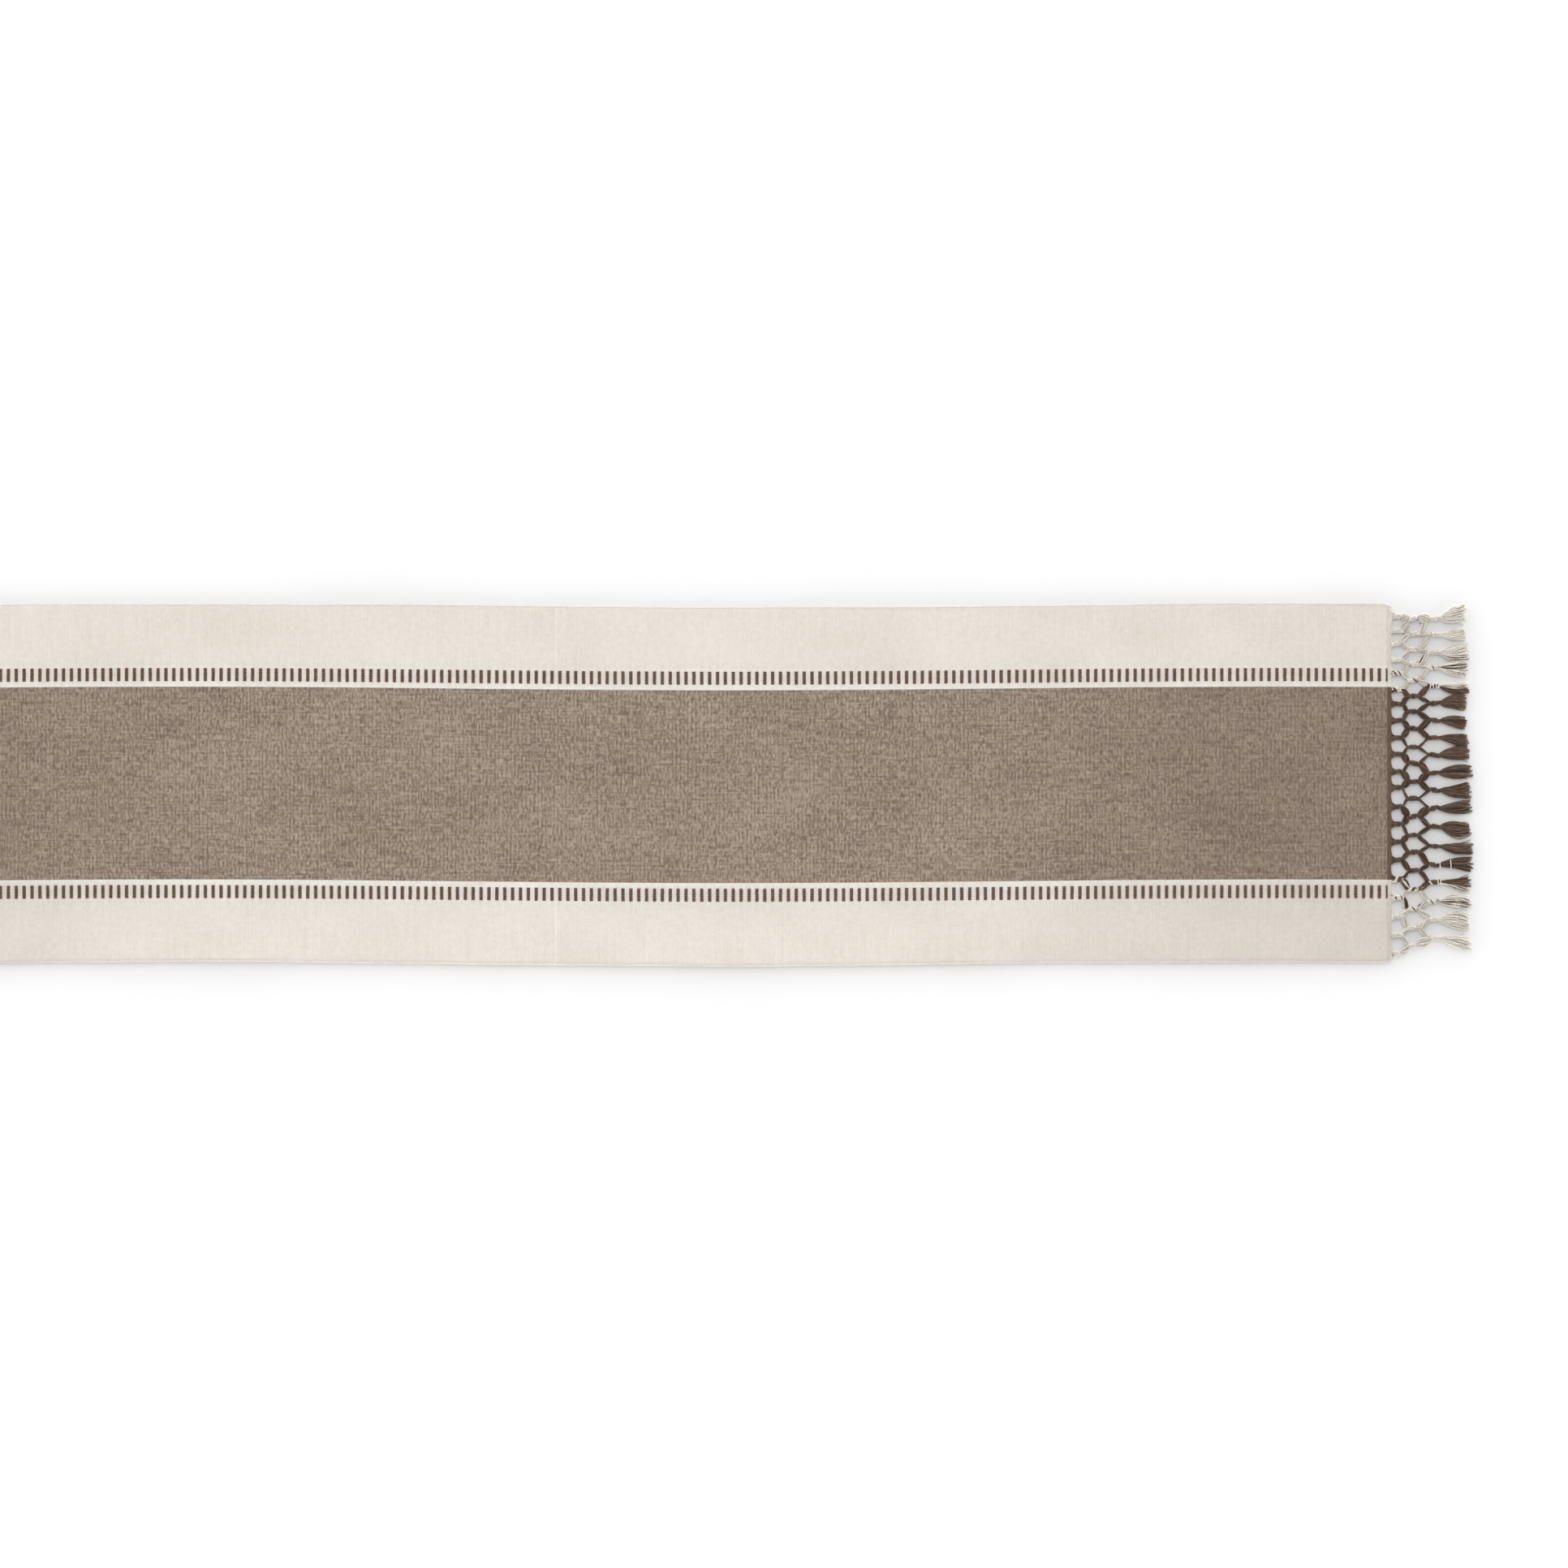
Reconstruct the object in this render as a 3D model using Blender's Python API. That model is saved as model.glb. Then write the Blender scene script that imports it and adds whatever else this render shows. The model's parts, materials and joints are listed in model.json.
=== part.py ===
"""Table runner: a striped hand-woven cloth with a knotted, tasselled fringe at each end.

+X runs along the length, +Y across the width and +Z up.  The origin is the middle of the
runner, on the table it lies on.  Every length is in metres.
"""

import math

import bmesh
import bpy
from mathutils import Vector

# Driving dimensions of the cloth
OVERALL_LENGTH = 1.829          # 72 inches over both fringes
CLOTH_WIDTH = 0.3556            # 14 inches between the selvedges
CLOTH_THICKNESS = 0.0016
FRINGE_LENGTH = 0.0828          # cloth end to the tip of the longest tassel
CENTRE_HALF_WIDTH = 0.0960      # the brown band down the middle
STRIPE_OUTER_EDGE = 0.1160      # outer edge of the dashed stripe beside it
HEADING_LENGTH = 0.0048         # hard-beaten picks that lock the end of the weave
PIECE_GAP = 0.0003              # between neighbouring pieces

# The two lines across the cloth where its ends hang over a table, and the fringe's own line
DROP_LENGTH = 0.0700            # cloth that hangs beyond the table's edge
BEND_HEIGHT = CLOTH_THICKNESS + PIECE_GAP
BEND_RELIEF = 0.0022            # clear cloth before a bend line, more than its height

# The knotted net: rows of knots, each row one knot narrower than the last
KNOTS_IN_ROW = (21, 20, 19)
ROW_DISTANCE = (0.0052, 0.0195, 0.0412)       # knot centres, measured from the fringe's bend line
ROW_FRONT_END = (-0.1672, -0.1598, -0.1523)   # the frontmost knot: the net draws in on this side
ROW_BACK_END = (0.1680, 0.1660, 0.1656)       # the backmost knot: the net's edge runs straight out
ROW_CROWDING = (0.0140, 0.0100, 0.0060)       # how far the knots crowd toward the back end
CROWDING_POWER = 0.85                         # below 1 puts most of the crowding near the back end
KNOT_HALF_LENGTH = (0.0046, 0.0062, 0.0066)
KNOT_HALF_WIDTH = 0.0029
KNOT_SHOULDER_WIDTH = 0.0025
KNOT_SHOULDER_SETBACK = 0.0015
KNOT_HEIGHT = 0.0054
LEG_HEIGHT = 0.0034
ROOT_HALF_WIDTH = 0.0040        # a warp bundle where it leaves the cloth

# Tassels
NECK_RADIUS = 0.0016
NECK_SETBACK = 0.0022           # knot tip to the tassel's swing line
TASSEL_HALF_HEIGHT = 0.0024
TASSEL_SIDES = 8
TASSEL_LENGTH = 0.0309          # the average one
TASSEL_LENGTH_VARIATION = 0.0019

# Linear base colours, roughness
CREAM = (0.74, 0.67, 0.58, 1.0)
BROWN = (0.30, 0.225, 0.165, 1.0)
STRIPE = (0.52, 0.45, 0.37, 1.0)
DARK_BROWN = (0.16, 0.105, 0.068, 1.0)
MIXED = (0.40, 0.32, 0.25, 1.0)
CLOTH_ROUGHNESS = 0.9

# Places worked out from the dimensions
FRINGE_BEND_X = OVERALL_LENGTH / 2.0 - FRINGE_LENGTH + BEND_RELIEF
CLOTH_END_X = FRINGE_BEND_X - BEND_RELIEF
DROP_BEND_X = CLOTH_END_X - DROP_LENGTH
SWING_DISTANCE = ROW_DISTANCE[2] + KNOT_HALF_LENGTH[2] + NECK_SETBACK
LONGEST_TASSEL = OVERALL_LENGTH / 2.0 - FRINGE_BEND_X - SWING_DISTANCE
TASSEL_COUNT = KNOTS_IN_ROW[2]


def clear_scene():
    """Start from an empty scene."""
    for old in list(bpy.data.objects):
        bpy.data.objects.remove(old, do_unlink=True)


def fabric(name, colour):
    """A plain matt yarn material."""
    material = bpy.data.materials.new(name)
    material.use_nodes = True
    shader = material.node_tree.nodes["Principled BSDF"]
    shader.inputs["Base Color"].default_value = colour
    shader.inputs["Roughness"].default_value = CLOTH_ROUGHNESS
    shader.inputs["Metallic"].default_value = 0.0
    return material


def add_empty(name, parent, location, turn=0.0):
    """A hinge frame that carries the pieces beyond a bend line."""
    empty = bpy.data.objects.new(name, None)
    empty.location = location
    empty.rotation_euler = (0.0, 0.0, turn)
    empty.parent = parent
    bpy.context.collection.objects.link(empty)
    return empty


def add_piece(name, bm, material, parent, location=(0.0, 0.0, 0.0)):
    """Turn a finished bmesh into one named object."""
    bmesh.ops.triangulate(bm, faces=[face for face in bm.faces if len(face.verts) > 4])
    bmesh.ops.recalc_face_normals(bm, faces=bm.faces)
    mesh = bpy.data.meshes.new(name)
    bm.to_mesh(mesh)
    bm.free()
    mesh.materials.append(material)
    piece = bpy.data.objects.new(name, mesh)
    piece.parent = parent
    piece.location = location
    bpy.context.collection.objects.link(piece)
    return piece


def slab(x_from, x_to, y_from, y_to):
    """A flat strip of cloth lying on the table."""
    bm = bmesh.new()
    bmesh.ops.create_cube(bm, size=1.0)
    size = Vector((x_to - x_from, y_to - y_from, CLOTH_THICKNESS))
    centre = Vector(((x_from + x_to) / 2.0, (y_from + y_to) / 2.0, CLOTH_THICKNESS / 2.0))
    bmesh.ops.scale(bm, vec=size, verts=bm.verts)
    bmesh.ops.translate(bm, vec=centre, verts=bm.verts)
    return bm


def band_edges():
    """Name, inner edge, outer edge and colour of each warp band, front to back."""
    gap = PIECE_GAP / 2.0
    selvedge = CLOTH_WIDTH / 2.0
    return (
        ("front_border", -selvedge, -STRIPE_OUTER_EDGE - gap, CREAM),
        ("front_dash_stripe", -STRIPE_OUTER_EDGE + gap, -CENTRE_HALF_WIDTH - gap, STRIPE),
        ("centre_band", -CENTRE_HALF_WIDTH + gap, CENTRE_HALF_WIDTH - gap, BROWN),
        ("back_dash_stripe", CENTRE_HALF_WIDTH + gap, STRIPE_OUTER_EDGE - gap, STRIPE),
        ("back_border", STRIPE_OUTER_EDGE + gap, selvedge, CREAM),
    )


def add_cloth_section(section, parent, origin, x_from, x_to, turned):
    """The five warp bands of one length of cloth, measured from the origin of its own frame."""
    for name, y_from, y_to, colour in band_edges():
        if turned:
            y_from, y_to = -y_to, -y_from
        bm = slab(x_from, x_to, y_from, y_to)
        bmesh.ops.translate(bm, vec=-origin, verts=bm.verts)
        add_piece(f"{name}_{section}", bm, fabric(f"{name}_{section}", colour), parent)


def add_heading(section, parent, origin):
    """The strip of hard-beaten picks at the very end of the cloth."""
    selvedge = CLOTH_WIDTH / 2.0
    start = CLOTH_END_X - HEADING_LENGTH + PIECE_GAP
    bm = slab(start, CLOTH_END_X, -selvedge, selvedge)
    bmesh.ops.translate(bm, vec=-origin, verts=bm.verts)
    add_piece(f"heading_{section}", bm, fabric(f"heading_{section}", MIXED), parent)


def across(row, index):
    """Distance of a knot from the centre line, counted from the front."""
    share = 1.0 - index / (KNOTS_IN_ROW[row] - 1)
    even = ROW_BACK_END[row] + (ROW_FRONT_END[row] - ROW_BACK_END[row]) * share
    return even + ROW_CROWDING[row] * math.sin(math.pi * share ** CROWDING_POWER)


def knot_outline(bm, row, index):
    """Eight corners of one knot, anticlockwise from the tip nearest the cloth."""
    reach = KNOT_HALF_LENGTH[row]
    shoulder = reach - KNOT_SHOULDER_SETBACK
    corners = (
        (-reach, 0.0),
        (-shoulder, -KNOT_SHOULDER_WIDTH),
        (0.0, -KNOT_HALF_WIDTH),
        (shoulder, -KNOT_SHOULDER_WIDTH),
        (reach, 0.0),
        (shoulder, KNOT_SHOULDER_WIDTH),
        (0.0, KNOT_HALF_WIDTH),
        (-shoulder, KNOT_SHOULDER_WIDTH),
    )
    centre = Vector((ROW_DISTANCE[row], across(row, index), 0.0))
    return [bm.verts.new(centre + Vector((x, y, 0.0))) for x, y in corners]


def add_legs(bm, outlines):
    """Flat strips that join each knot to its two neighbours in the next row."""
    for row in (0, 1):
        for index in range(KNOTS_IN_ROW[row + 1]):
            lower, upper = outlines[row][index], outlines[row][index + 1]
            knot = outlines[row + 1][index]
            bm.faces.new((lower[4], knot[1], knot[0], lower[5]))
            bm.faces.new((upper[3], knot[0], knot[7], upper[4]))


def add_roots(bm, outlines):
    """The warp bundles between the cloth's end and the first row of knots."""
    for index, knot in enumerate(outlines[0]):
        y = across(0, index)
        near = bm.verts.new((PIECE_GAP, y - ROOT_HALF_WIDTH, 0.0))
        far = bm.verts.new((PIECE_GAP, y + ROOT_HALF_WIDTH, 0.0))
        bm.faces.new((near, knot[1], knot[0], knot[7], far))


def net_height(vert):
    """Height of the net's upper face: cloth-thin at its root, leg height beyond."""
    return CLOTH_THICKNESS if vert.co.x < 2.0 * PIECE_GAP else LEG_HEIGHT


def net_mesh():
    """One knotted net as a lattice with its knots standing proud, measured from the bend line."""
    bm = bmesh.new()
    outlines = []
    knots = []
    for row, count in enumerate(KNOTS_IN_ROW):
        outlines.append([knot_outline(bm, row, index) for index in range(count)])
        knots.extend(bm.faces.new(outline) for outline in outlines[-1])
    add_legs(bm, outlines)
    add_roots(bm, outlines)
    raised = bmesh.ops.extrude_face_region(bm, geom=bm.faces[:], use_keep_orig=True)["geom"]
    for vert in [item for item in raised if isinstance(item, bmesh.types.BMVert)]:
        vert.co.z = net_height(vert)
    tops = [face for face in raised if isinstance(face, bmesh.types.BMFace)]
    knot_tops = [face for face in tops if len(face.verts) == 8]
    crowns = bmesh.ops.poke(bm, faces=knot_tops)["verts"]
    for crown in crowns:
        crown.co.z = KNOT_HEIGHT
    bmesh.ops.translate(bm, vec=(0.0, 0.0, -BEND_HEIGHT), verts=bm.verts)
    return bm


def tassel_length(index):
    """Cut length of a tassel: hand-cut, so each one differs a little."""
    wander = math.cos(2.0 * math.pi * 7.0 * index / (TASSEL_COUNT - 1))
    return LONGEST_TASSEL - TASSEL_LENGTH_VARIATION * (1.0 - wander)


def tassel_sections(length):
    """Distance from the swing line, half width and half height of each section."""
    return (
        (-0.80 * NECK_RADIUS, 0.60 * NECK_RADIUS, 0.60 * NECK_RADIUS),
        (0.0, NECK_RADIUS, NECK_RADIUS),
        (0.16 * length, 0.0027, 0.0020),
        (0.55 * length, 0.0046, TASSEL_HALF_HEIGHT),
        (0.88 * length, 0.0058, TASSEL_HALF_HEIGHT),
        (length, 0.0047, 0.0016),
    )


def tassel_mesh(length):
    """A tapered brush of yarn lying flat, its round neck on the swing line."""
    bm = bmesh.new()
    flat_below = math.cos(math.pi / TASSEL_SIDES)
    rings = []
    for x, half_width, half_height in tassel_sections(length):
        ring = []
        for side in range(TASSEL_SIDES):
            angle = 2.0 * math.pi * (side + 0.5) / TASSEL_SIDES
            y = half_width * math.cos(angle) / flat_below
            z = half_height * math.sin(angle) / flat_below
            ring.append(bm.verts.new((x, y, z)))
        rings.append(ring)
    for first, second in zip(rings, rings[1:]):
        for side in range(TASSEL_SIDES):
            following = (side + 1) % TASSEL_SIDES
            bm.faces.new((first[side], first[following], second[following], second[side]))
    bm.faces.new(rings[0])
    bm.faces.new(rings[-1])
    return bm


def tassel_colour(y):
    """Tassels take the colour of the warp band they come from."""
    if abs(y) < CENTRE_HALF_WIDTH:
        return DARK_BROWN
    return MIXED if abs(y) < STRIPE_OUTER_EDGE + 0.012 else CREAM


def add_tassels(side, fringe, turned):
    """One tassel on each knot of the last row, numbered from the front edge."""
    for index in range(TASSEL_COUNT):
        number = TASSEL_COUNT - index if turned else index + 1
        name = f"{side}_tassel_{number:02d}"
        y = across(2, index)
        place = (SWING_DISTANCE, y, TASSEL_HALF_HEIGHT - BEND_HEIGHT)
        bm = tassel_mesh(tassel_length(index))
        add_piece(name, bm, fabric(name, tassel_colour(y)), fringe, place)


def add_end(side, turn):
    """Drop, heading, net and tassels of one end, built to the right and turned for the left."""
    turned = turn > 0.0
    direction = -1.0 if turned else 1.0
    drop = add_empty(f"{side}_drop_hinge", None, (direction * DROP_BEND_X, 0.0, BEND_HEIGHT), turn)
    origin = Vector((DROP_BEND_X, 0.0, BEND_HEIGHT))
    bands_end = CLOTH_END_X - HEADING_LENGTH
    add_cloth_section(f"{side}_drop", drop, origin, DROP_BEND_X + PIECE_GAP, bands_end, turned)
    add_heading(side, drop, origin)
    fringe = add_empty(f"{side}_fringe_hinge", drop, (FRINGE_BEND_X - DROP_BEND_X, 0.0, 0.0))
    add_piece(f"{side}_knotted_net", net_mesh(), fabric(f"{side}_knotted_net", MIXED), fringe)
    add_tassels(side, fringe, turned)


def main():
    """Build the whole runner."""
    clear_scene()
    middle_end = DROP_BEND_X - BEND_RELIEF
    add_cloth_section("middle", None, Vector((0.0, 0.0, 0.0)), -middle_end, middle_end, False)
    add_end("right", 0.0)
    add_end("left", math.pi)


main()
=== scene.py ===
import json
import math
import random

import bpy
import numpy as np
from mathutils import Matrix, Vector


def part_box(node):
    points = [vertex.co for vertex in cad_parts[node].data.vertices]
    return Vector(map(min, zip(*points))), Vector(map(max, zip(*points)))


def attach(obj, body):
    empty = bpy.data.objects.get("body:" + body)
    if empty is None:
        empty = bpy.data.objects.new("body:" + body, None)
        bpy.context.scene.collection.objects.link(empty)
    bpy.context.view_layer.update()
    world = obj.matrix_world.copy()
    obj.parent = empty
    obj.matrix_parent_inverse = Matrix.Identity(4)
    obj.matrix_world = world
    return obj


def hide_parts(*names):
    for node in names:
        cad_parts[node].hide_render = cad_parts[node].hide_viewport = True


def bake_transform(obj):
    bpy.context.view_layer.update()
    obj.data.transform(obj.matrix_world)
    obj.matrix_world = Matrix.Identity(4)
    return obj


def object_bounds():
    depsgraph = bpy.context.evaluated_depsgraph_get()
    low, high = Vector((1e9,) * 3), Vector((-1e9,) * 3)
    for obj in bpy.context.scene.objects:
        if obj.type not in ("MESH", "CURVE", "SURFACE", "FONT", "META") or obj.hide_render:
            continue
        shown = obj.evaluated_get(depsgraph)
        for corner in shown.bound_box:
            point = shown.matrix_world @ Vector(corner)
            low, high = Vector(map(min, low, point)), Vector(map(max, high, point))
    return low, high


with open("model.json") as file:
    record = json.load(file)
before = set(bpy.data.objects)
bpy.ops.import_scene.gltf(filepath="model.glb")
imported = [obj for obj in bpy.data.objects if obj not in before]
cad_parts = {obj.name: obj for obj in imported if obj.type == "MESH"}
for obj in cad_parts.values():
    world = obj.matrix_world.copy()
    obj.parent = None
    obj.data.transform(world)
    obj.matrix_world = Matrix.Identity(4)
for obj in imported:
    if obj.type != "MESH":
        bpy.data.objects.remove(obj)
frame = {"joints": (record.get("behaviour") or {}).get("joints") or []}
cad_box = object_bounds()

# A striped, hand-woven table runner with a knotted net and tassels at each end.
# Everything is in metres, in the CAD frame: +X along the length, +Y across, +Z up.

# ---------------- places read from the frame

HINGES = {joint["name"]: joint["pos_m"] for joint in frame["joints"]}
TASSEL_Y = sorted(place[1] for name, place in HINGES.items() if name.endswith("right_swing"))
TASSEL_COUNT = len(TASSEL_Y)
CLOTH_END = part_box("heading_right")[1].x
HEADING_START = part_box("heading_right")[0].x
HALF_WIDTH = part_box("back_border_middle")[1].y
CLOTH_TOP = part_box("centre_band_middle")[1].z
CENTRE_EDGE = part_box("centre_band_middle")[1].y
STRIPE_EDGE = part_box("back_dash_stripe_middle")[1].y
SECTIONS = ("front_border", "front_dash_stripe", "centre_band", "back_dash_stripe", "back_border")

# ---------------- the weave

PICK = 0.00196                 # one weft pick, the rib that runs across the cloth
WARP_SPACING = 0.0009          # one warp yarn
RIB_HEIGHT = 0.00013
GUARD_WIDTH = 0.0056           # plain cream between the brown band and the dashes
DASH_PERIOD_PICKS = 4          # two picks under a dash, two picks between dashes
DASH_FLOATS = 11               # warp yarns side by side in one dash
DASH_LENGTH = 0.0130           # across the cloth
FLOAT_RADIUS = 0.00056
FLOAT_RISE = 0.00030
LAST_DASH = 0.0016             # half a dash shows beside the heading
SWAY = 0.0018                  # the whole cloth lies in a slow snake
SWAY_LENGTH = 1.10
SWAY_FRONTMOST_X = 0.173
SELVEDGE_WANDER = 0.0008       # how far a long edge drifts in and out
SELVEDGE_BAND = 0.060          # the border that drifts with it
SELVEDGE_LOOP = 0.00045        # the turn of each pick at the selvedge
CORNER_DRAW = 0.0034           # the fringe pulls the corners of the cloth in
CORNER_LENGTH = 0.010
EDGE_LIFT = 0.0031             # how far the selvedges lift off the table
EDGE_LIFT_BAND = 0.035
SWELL = 0.00022                # the cloth never lies quite flat
REST_HEIGHT = 0.0002
SKIN_LOW = 0.05                # underside and top of the sheet, as shares of its thickness
SKIN_DEPTH = 0.92
TURN_SHARES = (0.72, 0.28)     # upper and lower bend of the selvedge
SMOOTH_MARGIN = 0.004          # finer rows of vertices next to the selvedge
SELVEDGE_CORD = 0.0006
CLEAR_OF_TABLE = 0.0001
HEADING_PICKS = 3
HEADING_DEPTH = 0.95
HEADING_RELIEF = 0.00028
HEADING_RIPPLE = 0.00010
HEADING_ROWS = 260
SCALLOP_REACH = 0.0017
SCALLOP_WIDTH = 0.0042

# ---------------- the fringe

YARNS_IN_BUNDLE = 10
YARN_RADIUS = 0.00078
YARN_SIDES = 6
KNOTS_IN_ROW = (21, 20, TASSEL_COUNT)
KNOT_ROW_X = (0.0060, 0.0215, 0.0420)         # from the cloth's end
KNOT_FRONT_END = (-0.1672, -0.1598)           # the net draws in on this side
KNOT_BACK_END = (0.1680, 0.1660)              # and its edge runs straight out on this one
KNOT_CROWDING = (0.0140, 0.0100)              # how far the knots crowd toward the back
CROWDING_POWER = 0.85
KNOT_REACH = (0.0052, 0.0062, 0.0062)
KNOT_WRAP_RADIUS = 0.00188
KNOT_CORE_RADIUS = 0.00090
KNOT_CORES = 4
KNOT_WRAPS = 5
KNOT_TURNS = 1.15
KNOT_PITCH = 1.20                             # of its reach, for one turn
LEG_HEIGHT = 0.0017
LEG_LEAD = 0.0024                             # how far a leg runs straight out of its knot
LEG_OFFSET = 0.0008                           # the two legs of a knot lie side by side
LEG_SPREAD = 1.60                             # of a yarn's radius and the root of the count
LEG_FLATNESS = 0.38
LEG_SWELL = 0.46                              # yarns are thicker in the middle of a leg
LEG_TWIST = (1.2, 2.4)                        # in radians from knot to knot
KNOT_SHAKE = 0.0010
KNOT_TILT = 0.22
KNOT_SCATTER = (-0.0007, 0.0009)
KNOT_FLATNESS = 0.76                          # height of a knot over its width
KNOT_Z = KNOT_FLATNESS * KNOT_WRAP_RADIUS + YARN_RADIUS + 0.0001
STRANDS = 100
STRAND_RADIUS = 0.00030
STRAND_MIXING = 20.0           # how far a strand may stray among its neighbours, in strands
CLUMPS = 7
TASSEL_FLARE = (0.0062, 0.0098)
EDGE_FLARE = 0.0010
TASSEL_LEAN = 0.0040
TASSEL_BOW = 0.0022
TASSEL_RAGGED = 0.0032         # difference in length between tassels
TASSEL_HEIGHT = 0.0022
NECK_OVERLAP = 0.0012
NECK_RADIUS = 0.0009
NECK_LENGTH = 0.0052
INSIDE_KNOT = 0.0050           # how far the strands start inside the knot
EDGE_SPLAY = 0.0062            # the outermost tassels fall outward
TASSEL_TIP = cad_box[1][0] - 0.0006
BACK_TRIM = 0.0042             # the tassels toward the back are cut a little shorter
# Cream ties: the tassel's number, and where they lie along it
TIES = {15: (-0.0088, -0.0058, -0.0030), 5: (0.0010, 0.0118), 4: (-0.0018, 0.0008)}
TIE_RADIUS = 0.00036
STRAY_RADIUS = 0.00026
SUNFLOWER = math.pi * (3.0 - math.sqrt(5.0))

OUTWARD = {"right": 1.0, "left": -1.0}

# Base colours, linear
CREAM = (0.775, 0.728, 0.660, 1.0)
CREAM_LIGHT = (0.830, 0.794, 0.735, 1.0)
CREAM_SHADE = (0.640, 0.590, 0.520, 1.0)
END_DYE_AND_SHADE_FRONT = 0.17           # both ends of the cloth are a little darker, most at the front: partly a darker dye, partly painted shade where the light falls off toward the ends and along the front
END_DYE_AND_SHADE_BACK = 0.05
END_DYE_AND_SHADE_CENTRE = 0.28
BROWN_WARP = (0.160, 0.113, 0.083, 1.0)
NATURAL_WEFT = (0.420, 0.345, 0.276, 1.0)
DASH_BROWN = (0.098, 0.051, 0.032, 1.0)
DASH_BROWN_LIGHT = (0.215, 0.124, 0.079, 1.0)
YARN_BROWN = (0.046, 0.025, 0.016, 1.0)
YARN_BROWN_LIGHT = (0.110, 0.067, 0.044, 1.0)
LOOSE_BROWN = (0.050, 0.029, 0.019, 1.0)
LOOSE_BROWN_LIGHT = (0.205, 0.135, 0.092, 1.0)
# Dark brown of the beaten picks, and also the colour of the painted shade in gaps, at the edges and toward
# the ends
DEEP_BROWN_AND_SHADE = (0.110, 0.066, 0.043, 1.0)
# Painted light: the same cream warp yarn is darker in the knots, where more light falls, and lighter in the
# tassels, where the strands shade each other.
KNOT_CREAM_SHADED = (0.520, 0.480, 0.420, 1.0)
KNOT_CREAM_SHADED_PALE = (0.590, 0.550, 0.490, 1.0)
TASSEL_CREAM_LIT = (0.700, 0.650, 0.580, 1.0)
TASSEL_CREAM_LIT_PALE = (0.790, 0.745, 0.680, 1.0)
TABLE_WHITE = (0.90, 0.90, 0.90, 1.0)

# Light
SKY_BASE = 0.345
SKY_RING = 13.4
SKY_BACK = 2.0
SKY_LOW_POWER = 6.0
LAMP_STRENGTH = 1.25
LAMP_SPREAD = math.radians(70.0)
LAMP_TURN = (math.radians(-42.0), 0.0, math.radians(8.0))


# ================ shader wiring

class Wiring:
    """Short calls that place and join the nodes of one tree."""

    def __init__(self, tree):
        self.tree = tree

    def add(self, kind, **settings):
        node = self.tree.nodes.new(kind)
        count = len(self.tree.nodes)
        node.location = (220.0 * (count % 9), -260.0 * (count // 9))
        for name, value in settings.items():
            setattr(node, name, value)
        return node

    def feed(self, socket, value):
        """Join an output to a socket, or set the socket's own value."""
        if isinstance(value, bpy.types.NodeSocket):
            self.tree.links.new(value, socket)
        else:
            socket.default_value = value

    def math(self, operation, first, second=0.0):
        node = self.add("ShaderNodeMath", operation=operation)
        self.feed(node.inputs[0], first)
        self.feed(node.inputs[1], second)
        return node.outputs[0]

    def total(self, *parts):
        """Weighted sum of several values."""
        result = 0.0
        for value, weight in parts:
            node = self.add("ShaderNodeMath", operation="MULTIPLY_ADD")
            for socket, given in zip(node.inputs, (value, weight, result)):
                self.feed(socket, given)
            result = node.outputs[0]
        return result

    def vector(self, operation, first, second):
        node = self.add("ShaderNodeVectorMath", operation=operation)
        self.feed(node.inputs[0], first)
        self.feed(node.inputs[1], second)
        return node.outputs[0]

    def mix(self, factor, first, second):
        node = self.add("ShaderNodeMix", data_type="RGBA")
        self.feed(node.inputs["Factor"], factor)
        self.feed(node.inputs["A"], first)
        self.feed(node.inputs["B"], second)
        return node.outputs["Result"]

    def ramp(self, value, low, high, out_low=0.0, out_high=1.0):
        node = self.add("ShaderNodeMapRange", interpolation_type="SMOOTHSTEP")
        self.feed(node.inputs["Value"], value)
        self.feed(node.inputs["From Min"], low)
        self.feed(node.inputs["From Max"], high)
        self.feed(node.inputs["To Min"], out_low)
        self.feed(node.inputs["To Max"], out_high)
        return node.outputs["Result"]

    def noise(self, vector, scale, detail=2.0, roughness=0.5):
        node = self.add("ShaderNodeTexNoise", noise_dimensions="3D")
        self.feed(node.inputs["Vector"], vector)
        self.feed(node.inputs["Scale"], scale)
        self.feed(node.inputs["Detail"], detail)
        self.feed(node.inputs["Roughness"], roughness)
        return node.outputs["Fac"]

    def split(self, vector):
        node = self.add("ShaderNodeSeparateXYZ")
        self.feed(node.inputs[0], vector)
        return node.outputs[0], node.outputs[1]

    def group(self, tree, **values):
        """Place a node group; a keyword's underscores stand for its socket's spaces."""
        node = self.add("ShaderNodeGroup", node_tree=tree)
        for name, value in values.items():
            self.feed(node.inputs[name.replace("_", " ")], value)
        return node.outputs


def new_group(name, inputs, outputs):
    """A node group with named sockets; gives its wiring, its inputs and its outputs."""
    tree = bpy.data.node_groups.new(name, "ShaderNodeTree")
    for title, kind, value in inputs:
        socket = tree.interface.new_socket(title, in_out="INPUT", socket_type=kind)
        if value is not None:
            socket.default_value = value
    for title, kind in outputs:
        tree.interface.new_socket(title, in_out="OUTPUT", socket_type=kind)
    wiring = Wiring(tree)
    entry = wiring.add("NodeGroupInput").outputs
    leaving = wiring.add("NodeGroupOutput").inputs
    return tree, wiring, entry, leaving


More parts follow.
